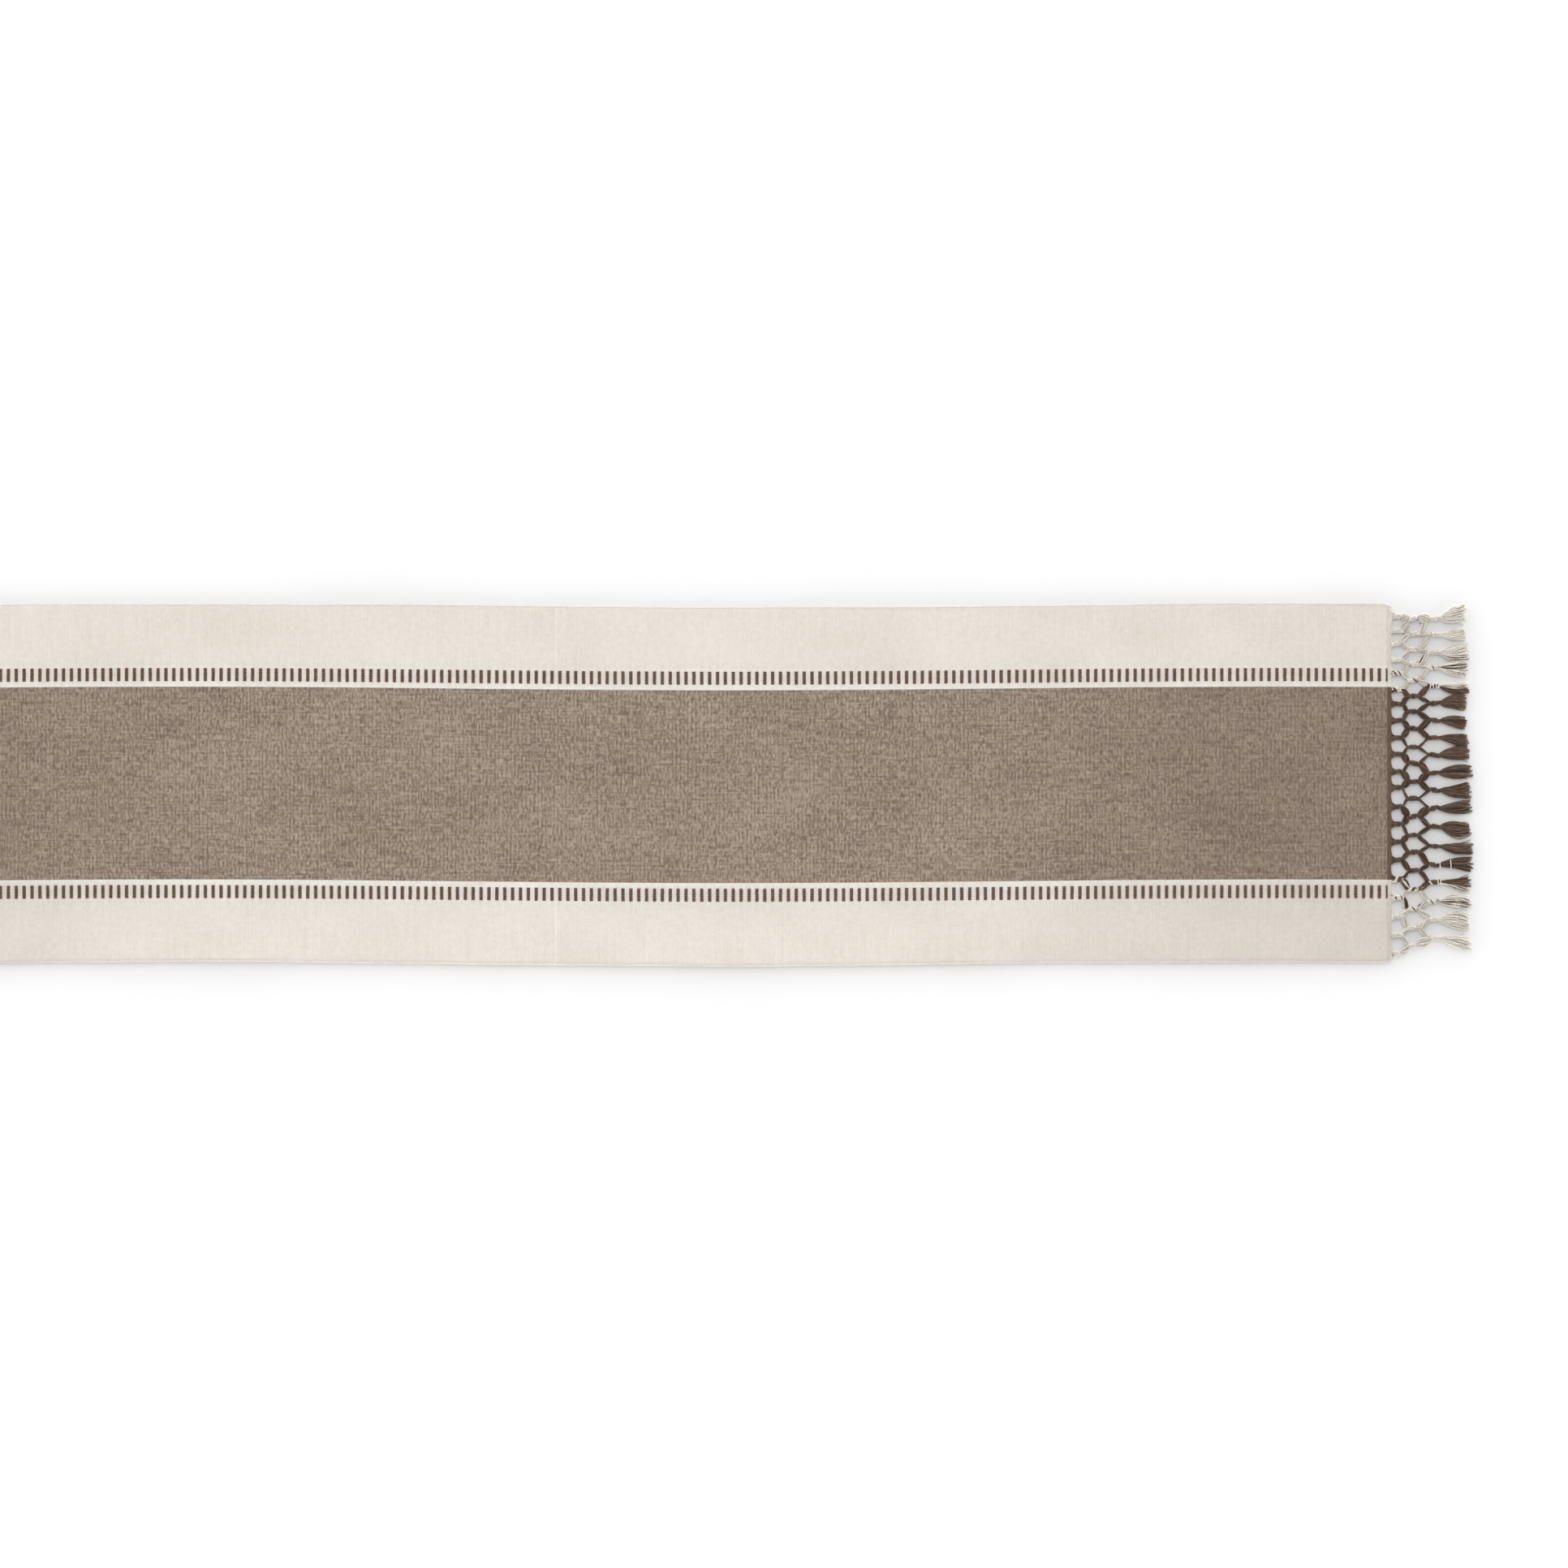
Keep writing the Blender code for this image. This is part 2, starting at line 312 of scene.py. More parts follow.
def plain_weave_group():
    """Over-and-under weave: height, which yarn is on top, and painted shade in the gaps between yarns."""
    tree, w, given, out = new_group(
        "plain_weave",
        [("Cloth", "NodeSocketVector", None),
         ("Warp Spacing", "NodeSocketFloat", WARP_SPACING),
         ("Weft Spacing", "NodeSocketFloat", PICK / 2.0)],
        [("Height", "NodeSocketFloat"), ("Warp On Top", "NodeSocketFloat"),
         ("Gap Shade", "NodeSocketFloat")],
    )
    along, across = w.split(given["Cloth"])
    picks = w.math("DIVIDE", along, given["Weft Spacing"])
    ends = w.math("DIVIDE", across, given["Warp Spacing"])

    def place_in_yarn(count):
        return w.math("SUBTRACT", w.math("FRACT", count), 0.5)

    def round_section(count):
        doubled = w.math("MULTIPLY", place_in_yarn(count), 2.0)
        return w.math("SQRT", w.math("SUBTRACT", 1.02, w.math("MULTIPLY", doubled, doubled)))

    def rise(count, other):
        """1 where this yarn passes over, 0 where it passes under."""
        turns = w.math("ADD", place_in_yarn(other), w.math("FLOOR", other))
        turns = w.math("ADD", turns, w.math("FLOOR", count))
        return w.math("COSINE", w.math("MULTIPLY", turns, math.pi))

    warp_rise = w.math("MULTIPLY_ADD", rise(ends, picks), 0.35)
    warp_rise.node.inputs[2].default_value = 0.65
    weft_rise = w.math("MULTIPLY_ADD", rise(picks, ends), -0.35)
    weft_rise.node.inputs[2].default_value = 0.62
    warp = w.math("MULTIPLY", round_section(ends), warp_rise)
    weft = w.math("MULTIPLY", round_section(picks), weft_rise)
    height = w.math("MAXIMUM", warp, weft)
    w.feed(out["Height"], height)
    w.feed(out["Warp On Top"], w.ramp(w.math("SUBTRACT", warp, weft), -0.12, 0.12))
    w.feed(out["Gap Shade"], w.ramp(height, 0.30, 0.62, 1.0, 0.0))
    return tree


def heather_group():
    """Long soft flecks of lighter and darker fibre, stretched along one direction."""
    tree, w, given, out = new_group(
        "heather",
        [("Cloth", "NodeSocketVector", None),
         ("Fleck Along", "NodeSocketFloat", 0.006),
         ("Fleck Across", "NodeSocketFloat", 0.001),
         ("Contrast", "NodeSocketFloat", 1.0)],
        [("Value", "NodeSocketFloat")],
    )
    size = w.add("ShaderNodeCombineXYZ")
    w.feed(size.inputs[0], given["Fleck Along"])
    w.feed(size.inputs[1], given["Fleck Across"])
    size.inputs[2].default_value = 1.0
    stretched = w.vector("DIVIDE", given["Cloth"], size.outputs[0])
    value = w.math("SUBTRACT", w.noise(stretched, 1.0, 2.0, 0.6), 0.5)
    w.feed(out["Value"], w.math("MULTIPLY", value, given["Contrast"]))
    return tree


def yarn_twist_group():
    """The plies of a twisted yarn: height and the shade between two plies."""
    tree, w, given, out = new_group(
        "yarn_twist",
        [("Yarn", "NodeSocketVector", None),
         ("Turn Length", "NodeSocketFloat", 0.0032),
         ("Girth", "NodeSocketFloat", 0.0032)],
        [("Height", "NodeSocketFloat"), ("Groove", "NodeSocketFloat")],
    )
    along, around = w.split(given["Yarn"])
    turn = w.math("ADD", w.math("DIVIDE", along, given["Turn Length"]),
                  w.math("DIVIDE", around, given["Girth"]))
    wave = w.math("ABSOLUTE", w.math("SINE", w.math("MULTIPLY", turn, 2.0 * math.pi)))
    fibres = w.noise(w.vector("MULTIPLY", given["Yarn"], (900.0, 5200.0, 1.0)), 1.0, 2.0)
    w.feed(out["Height"], w.math("ADD", wave, w.math("MULTIPLY", fibres, 0.6)))
    w.feed(out["Groove"], w.ramp(wave, 0.0, 0.45, 1.0, 0.0))
    return tree


PLAIN_WEAVE = plain_weave_group()
HEATHER = heather_group()
YARN_TWIST = yarn_twist_group()


# ================ materials

def new_material(name, roughness, sheen):
    """A cloth material: its wiring and its shader, with the uniform values set on the sockets."""
    material = bpy.data.materials.new(name)
    material.use_nodes = True
    shader = material.node_tree.nodes["Principled BSDF"]
    shader.inputs["Roughness"].default_value = roughness
    shader.inputs["Specular IOR Level"].default_value = 0.25
    shader.inputs["Sheen Weight"].default_value = sheen
    shader.inputs["Sheen Roughness"].default_value = 0.45
    return material, Wiring(material.node_tree), shader.inputs


def rough_surface(w, sockets, height, distance):
    """Relief finer than the mesh, as a bump of the given depth in metres."""
    bump = w.add("ShaderNodeBump")
    bump.inputs["Strength"].default_value = 1.0
    bump.inputs["Distance"].default_value = distance
    w.feed(bump.inputs["Height"], height)
    w.feed(sockets["Normal"], bump.outputs["Normal"])


def floats_below(w, along, across):
    """Where the brown floats show on the underside: they pass below between two dashes above."""
    under = w.add("ShaderNodeAttribute", attribute_name="underside").outputs["Fac"]
    period = DASH_PERIOD_PICKS * PICK
    place = w.math("FRACT", w.math("DIVIDE", w.math("ADD", w.math("ABSOLUTE", along), PICK), period))
    length = w.ramp(w.math("ABSOLUTE", w.math("SUBTRACT", place, 0.25)), 0.18, 0.22, 1.0, 0.0)
    middle = CENTRE_EDGE + GUARD_WIDTH + DASH_LENGTH / 2.0
    off = w.math("ABSOLUTE", w.math("SUBTRACT", w.math("ABSOLUTE", across), middle))
    width = w.ramp(off, DASH_LENGTH / 2.0 - 0.0004, DASH_LENGTH / 2.0, 1.0, 0.0)
    return w.math("MULTIPLY", under, w.math("MULTIPLY", length, width))


def cloth_material(name, tightness):
    """The striped cloth, read from rest coordinates in metres; tightness darkens beaten picks."""
    material, w, sockets = new_material(name, 0.92, 0.05)
    cloth = w.add("ShaderNodeUVMap", uv_map="cloth").outputs[0]
    along, across = w.split(cloth)
    weave = w.group(PLAIN_WEAVE, Cloth=cloth)

    def flecks(length, width):
        return w.group(HEATHER, Cloth=cloth, Fleck_Along=length, Fleck_Across=width)["Value"]

    weft_fleck = flecks(0.0011, 0.0070)
    pick_tone = flecks(0.0014, 0.0450)
    warp_fleck = flecks(0.0450, 0.0017)
    speckle = flecks(0.0022, 0.0026)
    mottle = flecks(0.0065, 0.0055)
    drift = flecks(0.14, 0.09)
    pick_step = w.math("COSINE", w.math("MULTIPLY", along, math.pi / PICK))

    ragged = w.math("MULTIPLY", w.noise(w.vector("MULTIPLY", cloth, (900.0, 60.0, 1.0)), 1.0), 0.0009)
    depth = w.math("ADD", w.math("ABSOLUTE", across), w.math("SUBTRACT", ragged, 0.00045))
    outside_centre = w.ramp(depth, CENTRE_EDGE - 0.0002, CENTRE_EDGE + 0.0003)
    outside_stripe = w.ramp(depth, STRIPE_EDGE, STRIPE_EDGE + 0.0020)

    cream = w.mix(outside_stripe, CREAM_LIGHT, CREAM)
    cream_tone = w.total((weft_fleck, 0.55), (pick_tone, 0.80), (speckle, 0.75),
                         (mottle, 0.85), (drift, 1.00))
    cream = w.mix(w.math("ADD", 0.28, cream_tone), cream, CREAM_SHADE)
    below = floats_below(w, along, across)
    float_brown = w.mix(w.math("ADD", 0.3, speckle), DASH_BROWN, DASH_BROWN_LIGHT)
    cream = w.mix(below, cream, float_brown)

    brown_tone = w.total((weft_fleck, 2.3), (pick_tone, 0.9), (warp_fleck, 1.1), (speckle, 1.8),
                         (mottle, 0.9), (drift, 0.55), (pick_step, 0.09))
    on_top = w.math("MULTIPLY", weave["Warp On Top"], 0.30)
    brown_share = w.math("SUBTRACT", w.math("ADD", 0.40, on_top), brown_tone)
    brown_share.node.use_clamp = True
    brown = w.mix(brown_share, NATURAL_WEFT, BROWN_WARP)

    colour = w.mix(outside_centre, brown, cream)
    beaten = w.ramp(outside_centre, 0.0, 1.0, tightness, tightness * 0.10)
    # Painted shade between the yarns of the weave, stronger in the brown band.
    gap_shade = w.math("MULTIPLY", weave["Gap Shade"], w.ramp(outside_centre, 0.0, 1.0, 0.12, 0.07))
    # Painted shade: the lifted front border and the back rim are darkened against the light they catch from
    # the back.
    front_border_painted_shade = w.ramp(across, -HALF_WIDTH, -HALF_WIDTH + EDGE_LIFT_BAND, 0.045, 0.0)
    back_rim_painted_shade = w.ramp(across, HALF_WIDTH - 0.0012, HALF_WIDTH - 0.0002, 0.0, 0.50)
    edge_painted_shade = w.math("ADD", front_border_painted_shade, back_rim_painted_shade)
    # Partly a darker dye, partly painted shade: the cloth darkens toward both ends, the cream most along the
    # front edge.
    near_end = w.ramp(w.math("ABSOLUTE", along), 0.30, 0.78)
    cream_end_dye_and_shade = w.ramp(across, -HALF_WIDTH, HALF_WIDTH, END_DYE_AND_SHADE_FRONT, END_DYE_AND_SHADE_BACK)
    end_dye_and_shade = w.math("MULTIPLY", near_end, w.ramp(outside_centre, 0.0, 1.0, END_DYE_AND_SHADE_CENTRE, cream_end_dye_and_shade))
    # The beaten picks' own dark brown and the painted shade of gaps, edges and ends, all mixed toward one
    # deep brown.
    dark = w.total((gap_shade, 1.0), (beaten, 1.0), (edge_painted_shade, 1.0), (end_dye_and_shade, 1.0))
    colour = w.mix(dark, colour, DEEP_BROWN_AND_SHADE)
    w.feed(sockets["Base Color"], colour)
    w.feed(sockets["Roughness"], w.ramp(speckle, -0.2, 0.2, 0.86, 0.96))
    relief = w.math("ADD", weave["Height"], w.math("MULTIPLY", speckle, 0.9))
    rough_surface(w, sockets, relief, 0.00022)
    return material


def yarn_material(name, turn_length, browns, creams):
    """Twisted cotton yarn; each yarn carries its own dye and its own chance shade."""
    material, w, sockets = new_material(name, 0.90, 0.04)
    yarn = w.add("ShaderNodeUVMap", uv_map="yarn").outputs[0]
    dye = w.add("ShaderNodeAttribute", attribute_name="dye").outputs["Fac"]
    chance = w.add("ShaderNodeAttribute", attribute_name="chance").outputs["Fac"]
    twist = w.group(YARN_TWIST, Yarn=yarn, Turn_Length=turn_length)
    fleck = w.group(HEATHER, Cloth=yarn, Fleck_Along=0.0060, Fleck_Across=0.0009, Contrast=1.6)["Value"]
    tone = w.math("ADD", chance, fleck)
    tone.node.use_clamp = True
    brown = w.mix(tone, *browns)
    cream = w.mix(tone, *creams)
    colour = w.mix(dye, brown, cream)
    shade = w.math("MULTIPLY", twist["Groove"], w.ramp(dye, 0.0, 1.0, 0.34, 0.16))
    colour = w.mix(shade, colour, w.mix(0.55, colour, (0.02, 0.014, 0.010, 1.0)))
    w.feed(sockets["Base Color"], colour)
    w.feed(sockets["Roughness"], w.ramp(fleck, -0.4, 0.4, 0.80, 0.95))
    rough_surface(w, sockets, twist["Height"], 0.00016)
    return material


def table_material():
    """Plain white table top."""
    material, _, sockets = new_material("white_table", 0.75, 0.0)
    sockets["Base Color"].default_value = TABLE_WHITE
    return material


# ================ cloth shape

def wander(x, seed):
    """Slow irregular drift along the runner, between about -1 and 1."""
    return (0.50 * np.sin(7.3 * x + 1.7 * seed)
            + 0.30 * np.sin(16.1 * x + 2.9 * seed + 0.6)
            + 0.20 * np.sin(31.7 * x + 4.1 * seed + 2.1))


def edge_seed(y):
    """The two selvedges drift in their own ways."""
    return np.where(np.asarray(y) > 0.0, 1.0, 2.3)


def lift(x, y):
    """Height of the cloth's underside above the table."""
    edge = np.clip((np.abs(y) - (HALF_WIDTH - EDGE_LIFT_BAND)) / EDGE_LIFT_BAND, 0.0, 1.0)
    curl = EDGE_LIFT * edge * edge * (0.70 + 0.30 * wander(1.6 * x + 0.4, edge_seed(y) + 3.0))
    swell = SWELL * (1.0 + np.sin(9.0 * x + 14.0 * y) * np.cos(21.0 * y - 5.0 * x))
    return REST_HEIGHT + curl + swell


def drifted(x, y):
    """Where a warp yarn at y really lies, with the cloth's sway and the drift of its selvedge."""
    sway = SWAY * (0.2 - np.cos(2.0 * math.pi * (x - SWAY_FRONTMOST_X) / SWAY_LENGTH))
    edge = np.clip((np.abs(y) - (HALF_WIDTH - SELVEDGE_BAND)) / SELVEDGE_BAND, 0.0, 1.0)
    corner = np.clip((np.abs(x) - (CLOTH_END - CORNER_LENGTH)) / CORNER_LENGTH, 0.0, 1.0)
    drawn = CORNER_DRAW * corner * corner * edge * edge * edge * np.sign(y)
    return y + sway + SELVEDGE_WANDER * edge * edge * wander(x, edge_seed(y)) - drawn


def warp_lines():
    """Places across the cloth where its surface has a row of vertices, front to back."""
    half = [(0.0, CENTRE_EDGE, 6), (CENTRE_EDGE, CENTRE_EDGE + GUARD_WIDTH, 1),
            (CENTRE_EDGE + GUARD_WIDTH, STRIPE_EDGE, 1), (STRIPE_EDGE, HALF_WIDTH - SMOOTH_MARGIN, 3)]
    lines = [start + (end - start) * step / steps for start, end, steps in half for step in range(steps)]
    lines += [HALF_WIDTH - SMOOTH_MARGIN, HALF_WIDTH - SELVEDGE_CORD]
    return np.array([-y for y in reversed(lines[1:])] + lines)


def pick_stations(length, seed):
    """Distances along the cloth and the height of the rib there: a groove and a rounded top per pick."""
    chance = random.Random(seed)
    picks = int(length / PICK)
    stations = []
    for pick in range(picks):
        strength = (1.0 if pick % 2 else 0.72) * chance.uniform(0.7, 1.25)
        shake = chance.uniform(-0.08, 0.08) if pick else 0.0
        for part, rise in ((0.0, 0.0), (0.33, 1.0), (0.67, 1.0)):
            stations.append(((pick + part + (shake if part else 0.0)) * PICK, rise * strength))
    stations.append((length, 0.0))
    return np.array(stations)


def mesh_object(name, vertices, faces, material):
    """A smooth-shaded object from arrays of vertices and faces."""
    mesh = bpy.data.meshes.new(name)
    mesh.from_pydata(vertices, [], faces)
    mesh.polygons.foreach_set("use_smooth", np.ones(len(mesh.polygons), bool))
    mesh.materials.append(material)
    made = bpy.data.objects.new(name, mesh)
    bpy.context.collection.objects.link(made)
    return made


def sheet_faces(stations, around, flipped):
    """Quads of a flat tube through closed cross-sections, with its two ends closed."""
    base = np.arange(stations - 1)[:, None] * around + np.arange(around)[None, :]
    following = np.arange(stations - 1)[:, None] * around + (np.arange(around)[None, :] + 1) % around
    quads = np.stack([base, following, following + around, base + around], -1).reshape(-1, 4)
    faces = quads.tolist()
    for first, turned in ((0, False), ((stations - 1) * around, True)):
        for step in range(around // 2 - 1):
            face = [first + step, first + around - 1 - step, first + around - 2 - step, first + step + 1]
            faces.append(face[::-1] if turned else face)
    return [face[::-1] for face in faces] if flipped else faces


def paint_cloth(made, rest_x, rest_y, upper):
    """Mark the underside, and keep rest coordinates in metres, which move with the cloth."""
    under = made.data.attributes.new("underside", "FLOAT", "POINT")
    under.data.foreach_set("value", (1.0 - upper).ravel().astype(np.float32))
    layer = made.data.uv_layers.new(name="cloth")
    corner = np.empty(len(made.data.loops), np.int32)
    made.data.loops.foreach_get("vertex_index", corner)
    layer.data.foreach_set("uv", np.stack([rest_x[corner], rest_y[corner]], -1).ravel())


def cloth_half(side, material):
    """One half of the woven cloth, from the middle of the runner to its heading."""
    direction = OUTWARD[side]
    stations = pick_stations(HEADING_START, 11 if side == "right" else 12)
    lines = warp_lines()
    loop_y = np.concatenate([[-HALF_WIDTH], lines, [HALF_WIDTH], [HALF_WIDTH], lines[::-1], [-HALF_WIDTH]])
    turn_high, turn_low = TURN_SHARES
    above, below = np.ones(len(lines)), np.zeros(len(lines))
    upper = np.concatenate([[turn_high], above, [turn_high], [turn_low], below, [turn_low]])
    outward = np.where(upper > 0.9, 1.0, np.where(upper < 0.1, -1.0, 0.0))
    x = direction * stations[:, 0][:, None] + 0.0 * loop_y[None, :]
    rib = stations[:, 1][:, None] * RIB_HEIGHT
    rest_y = loop_y[None, :] + 0.0 * x
    loops = SELVEDGE_LOOP * stations[:, 1][:, None]
    micro = np.where(np.abs(rest_y) > HALF_WIDTH - 0.0001, loops * np.sign(rest_y), 0.0)
    y = drifted(x, rest_y) + micro
    z = lift(x, rest_y) + CLOTH_TOP * (SKIN_LOW + SKIN_DEPTH * upper[None, :]) + rib * outward[None, :]
    z = np.maximum(z, CLEAR_OF_TABLE)
    vertices = np.stack([x, y, z], -1).reshape(-1, 3)
    around = len(loop_y)
    faces = sheet_faces(len(stations), around, flipped=side == "right")
    made = mesh_object(f"cloth_{side}_half", vertices.tolist(), faces, material)
    paint_cloth(made, x.ravel(), rest_y.ravel(), upper[None, :] + 0.0 * x)
    return made


def knot_places(side):
    """Centre of every knot, row by row, in the frame of the right-hand end."""
    chance = random.Random(31 if side == "right" else 57)
    rows = []
    for row, count in enumerate(KNOTS_IN_ROW):
        places = []
        for index in range(count):
            y = TASSEL_Y[index] if row == 2 else net_line(row, index / (count - 1))
            y += chance.uniform(-KNOT_SHAKE, KNOT_SHAKE) * (0.3 if index in (0, count - 1) else 1.0)
            x = CLOTH_END + KNOT_ROW_X[row] + chance.uniform(*KNOT_SCATTER) * (1.0 if row else 0.3)
            places.append(np.array([x, y, KNOT_Z]))
        rows.append(places)
    return rows


def net_line(row, share):
    """Where along its row a knot lies; the knots crowd a little toward the back edge."""
    even = KNOT_FRONT_END[row] + (KNOT_BACK_END[row] - KNOT_FRONT_END[row]) * share
    return even + KNOT_CROWDING[row] * math.sin(math.pi * (1.0 - share) ** CROWDING_POWER)


def heading(side, knots, material):
    """The hard-beaten last picks, drawn out into a scallop at every knot."""
    direction = OUTWARD[side]
    knot_y = np.array([place[1] for place in knots[0]]) * direction
    rows = np.linspace(-HALF_WIDTH, HALF_WIDTH, HEADING_ROWS)
    nearest = np.abs(rows[:, None] - knot_y[None, :]).min(1)
    reach = CLOTH_END - HEADING_START + SCALLOP_REACH * (np.exp(-(nearest / SCALLOP_WIDTH) ** 2) - 0.35)
    steps = [0.0]
    rises = [0.15]
    for pick in range(HEADING_PICKS):
        steps += [(pick + part) / HEADING_PICKS for part in (0.2, 0.5, 0.8, 1.0)]
        rises += [0.85, 1.0, 0.85, 0.1 if pick < HEADING_PICKS - 1 else -1.2]
    steps, rises = np.array(steps), np.array(rises)
    along = np.concatenate([steps, steps[::-1]])
    upper = np.concatenate([np.ones(len(steps)), np.zeros(len(steps))])
    relief = np.concatenate([rises, np.clip(-rises[::-1], -1.0, 1.2)]) * HEADING_RELIEF
    x = direction * (HEADING_START + 0.0001 + reach[:, None] * along[None, :])
    rest_y = rows[:, None] + 0.0 * x
    y = drifted(x, rest_y)
    ripple = HEADING_RIPPLE * np.sin(2.0 * math.pi * rest_y / (2.0 * WARP_SPACING))
    z = lift(x, rest_y) + CLOTH_TOP * (SKIN_LOW + HEADING_DEPTH * upper[None, :]) + relief[None, :] + ripple
    z = np.maximum(z, CLEAR_OF_TABLE)
    vertices = np.stack([x, y, z], -1).reshape(-1, 3)
    around = len(along)
    faces = sheet_faces(len(rows), around, flipped=side == "left")
    made = mesh_object(f"heading_picks_{side}", vertices.tolist(), faces, material)
    paint_cloth(made, x.ravel(), rest_y.ravel(), np.ones_like(x))
    return made


# ================ yarn

class Skein:
    """Collects round yarns and turns them into one object."""

    def __init__(self, seed):
        self.chance = random.Random(seed)
        self.vertices, self.faces, self.uv = [], [], []
        self.dye, self.shade = [], []
        self.count = 0

    def lay(self, path, radius, dye, outward=None, sides=YARN_SIDES, shade=None):
        """One yarn along a path; outward is a direction that never runs along the path."""
        path = np.asarray(path, float)
        radius = np.broadcast_to(np.asarray(radius, float), len(path))
        tangent = np.gradient(path, axis=0)
        tangent /= np.linalg.norm(tangent, axis=1, keepdims=True)
        outward = np.broadcast_to(np.array([0.0, 0.0, 1.0]) if outward is None else outward, path.shape)
        across = np.cross(tangent, outward)
        across /= np.linalg.norm(across, axis=1, keepdims=True)
        up = np.cross(across, tangent)
        angle = 2.0 * math.pi * np.arange(sides) / sides
        ring = (np.cos(angle)[None, :, None] * across[:, None, :]
                + np.sin(angle)[None, :, None] * up[:, None, :]) * radius[:, None, None]
        self.vertices.append((path[:, None, :] + ring).reshape(-1, 3))
        travelled = np.concatenate([[0.0], np.cumsum(np.linalg.norm(np.diff(path, axis=0), axis=1))])
        travelled += self.chance.uniform(0.0, 1.0)
        girth = 2.0 * math.pi * float(radius.mean())
        for step in range(len(path) - 1):
            first = self.count + step * sides
            for side in range(sides):
                after = (side + 1) % sides
                self.faces.append((first + side, first + after, first + sides + after, first + sides + side))
                near, far = travelled[step], travelled[step + 1]
                left, right = girth * side / sides, girth * (side + 1) / sides
                self.uv += [near, left, near, right, far, right, far, left]
        for first, flip in ((self.count, True), (self.count + (len(path) - 1) * sides, False)):
            cap = tuple(range(first, first + sides))
            self.faces.append(cap[::-1] if flip else cap)
            for _ in range(sides):
                self.uv += [travelled[0], 0.0]
        shade = self.chance.random() if shade is None else shade
        self.dye.append(np.full(len(path) * sides, dye))
        self.shade.append(np.repeat(np.broadcast_to(shade, len(path)), sides))
        self.count += len(path) * sides

    def finish(self, name, material):
        """The object of everything laid so far."""
        vertices = np.concatenate(self.vertices)
        made = mesh_object(name, vertices.tolist(), self.faces, material)
        made.data.uv_layers.new(name="yarn").data.foreach_set("uv", np.array(self.uv, np.float32))
        for title, values in (("dye", self.dye), ("chance", self.shade)):
            layer = made.data.attributes.new(title, "FLOAT", "POINT")
            layer.data.foreach_set("value", np.concatenate(values).astype(np.float32))
        return made


def facing(path, side):
    """Turn a path made for the right-hand end round to its own end."""
    path = np.asarray(path, float)
    return path if side == "right" else path * np.array([-1.0, -1.0, 1.0])


def dye_at(y, number):
    """Cream or brown, by where the warp yarn leaves the cloth: 1 is cream, 0 is brown."""
    depth = abs(y)
    if depth > STRIPE_EDGE + 0.0005:
        return 1.0
    if depth > CENTRE_EDGE + GUARD_WIDTH:
        return 0.0 if number % 3 == 1 else 1.0
    if depth > CENTRE_EDGE:
        return 1.0
    return 0.0


def dash_floats(side, edge, material):
    """The short brown warp floats of one dashed stripe."""
    direction = OUTWARD[side]
    skein = Skein(71 if edge == "front" else 72)
    sign = -1.0 if edge == "front" else 1.0
    inner = CENTRE_EDGE + GUARD_WIDTH + FLOAT_RADIUS
    pitch = (DASH_LENGTH - 2.0 * FLOAT_RADIUS) / (DASH_FLOATS - 1)
    dash_count = int((HEADING_START / PICK - 3.0) / DASH_PERIOD_PICKS) + 1
    stretch = np.array([0.12, 0.40, 1.0, 1.60, 1.88])
    rise = np.array([-2.2, 0.50, 1.0, 0.50, -2.2])
    starts = [((dash * DASH_PERIOD_PICKS + 1) * PICK, 1.0) for dash in range(dash_count)]
    starts.append((HEADING_START - LAST_DASH, 0.5))
    for start, share in starts:
        for number in range(DASH_FLOATS):
            x = direction * (start + share * stretch * PICK + skein.chance.uniform(-0.0001, 0.0001))
            y = sign * (inner + pitch * number) + 0.0 * x
            z = lift(x, y) + CLOTH_TOP + FLOAT_RISE * rise * skein.chance.uniform(0.85, 1.1)
            path = np.stack([x, drifted(x, y), z], -1)
            skein.lay(path, FLOAT_RADIUS, 0.0, sides=5, shade=skein.chance.uniform(0.05, 0.45))
    return skein.finish(f"dash_floats_{edge}_{side}", material)


class Bundle:
    """Warp yarns that run together: where each left the cloth, and its dye."""

    def __init__(self, sources, dyes):
        order = sorted(range(len(sources)), key=lambda number: sources[number])
        self.sources = [sources[number] for number in order]
        self.dyes = [dyes[number] for number in order]

    def part(self, start, end):
        return Bundle(self.sources[start:end], self.dyes[start:end])

    def joined(self, other):
        return Bundle(self.sources + other.sources, self.dyes + other.dyes)


def packed(count, radius):
    """Offsets of yarns packed in a round bundle."""
    turn = SUNFLOWER * np.arange(count)
    reach = radius * np.sqrt((np.arange(count) + 0.5) / count)
    return reach * np.cos(turn), reach * np.sin(turn)


def pick_dye(bundle, number, count):
    """The dye of one of count yarns that stand for the whole bundle."""
    return bundle.dyes[int((number + 0.5) * len(bundle.dyes) / count)]


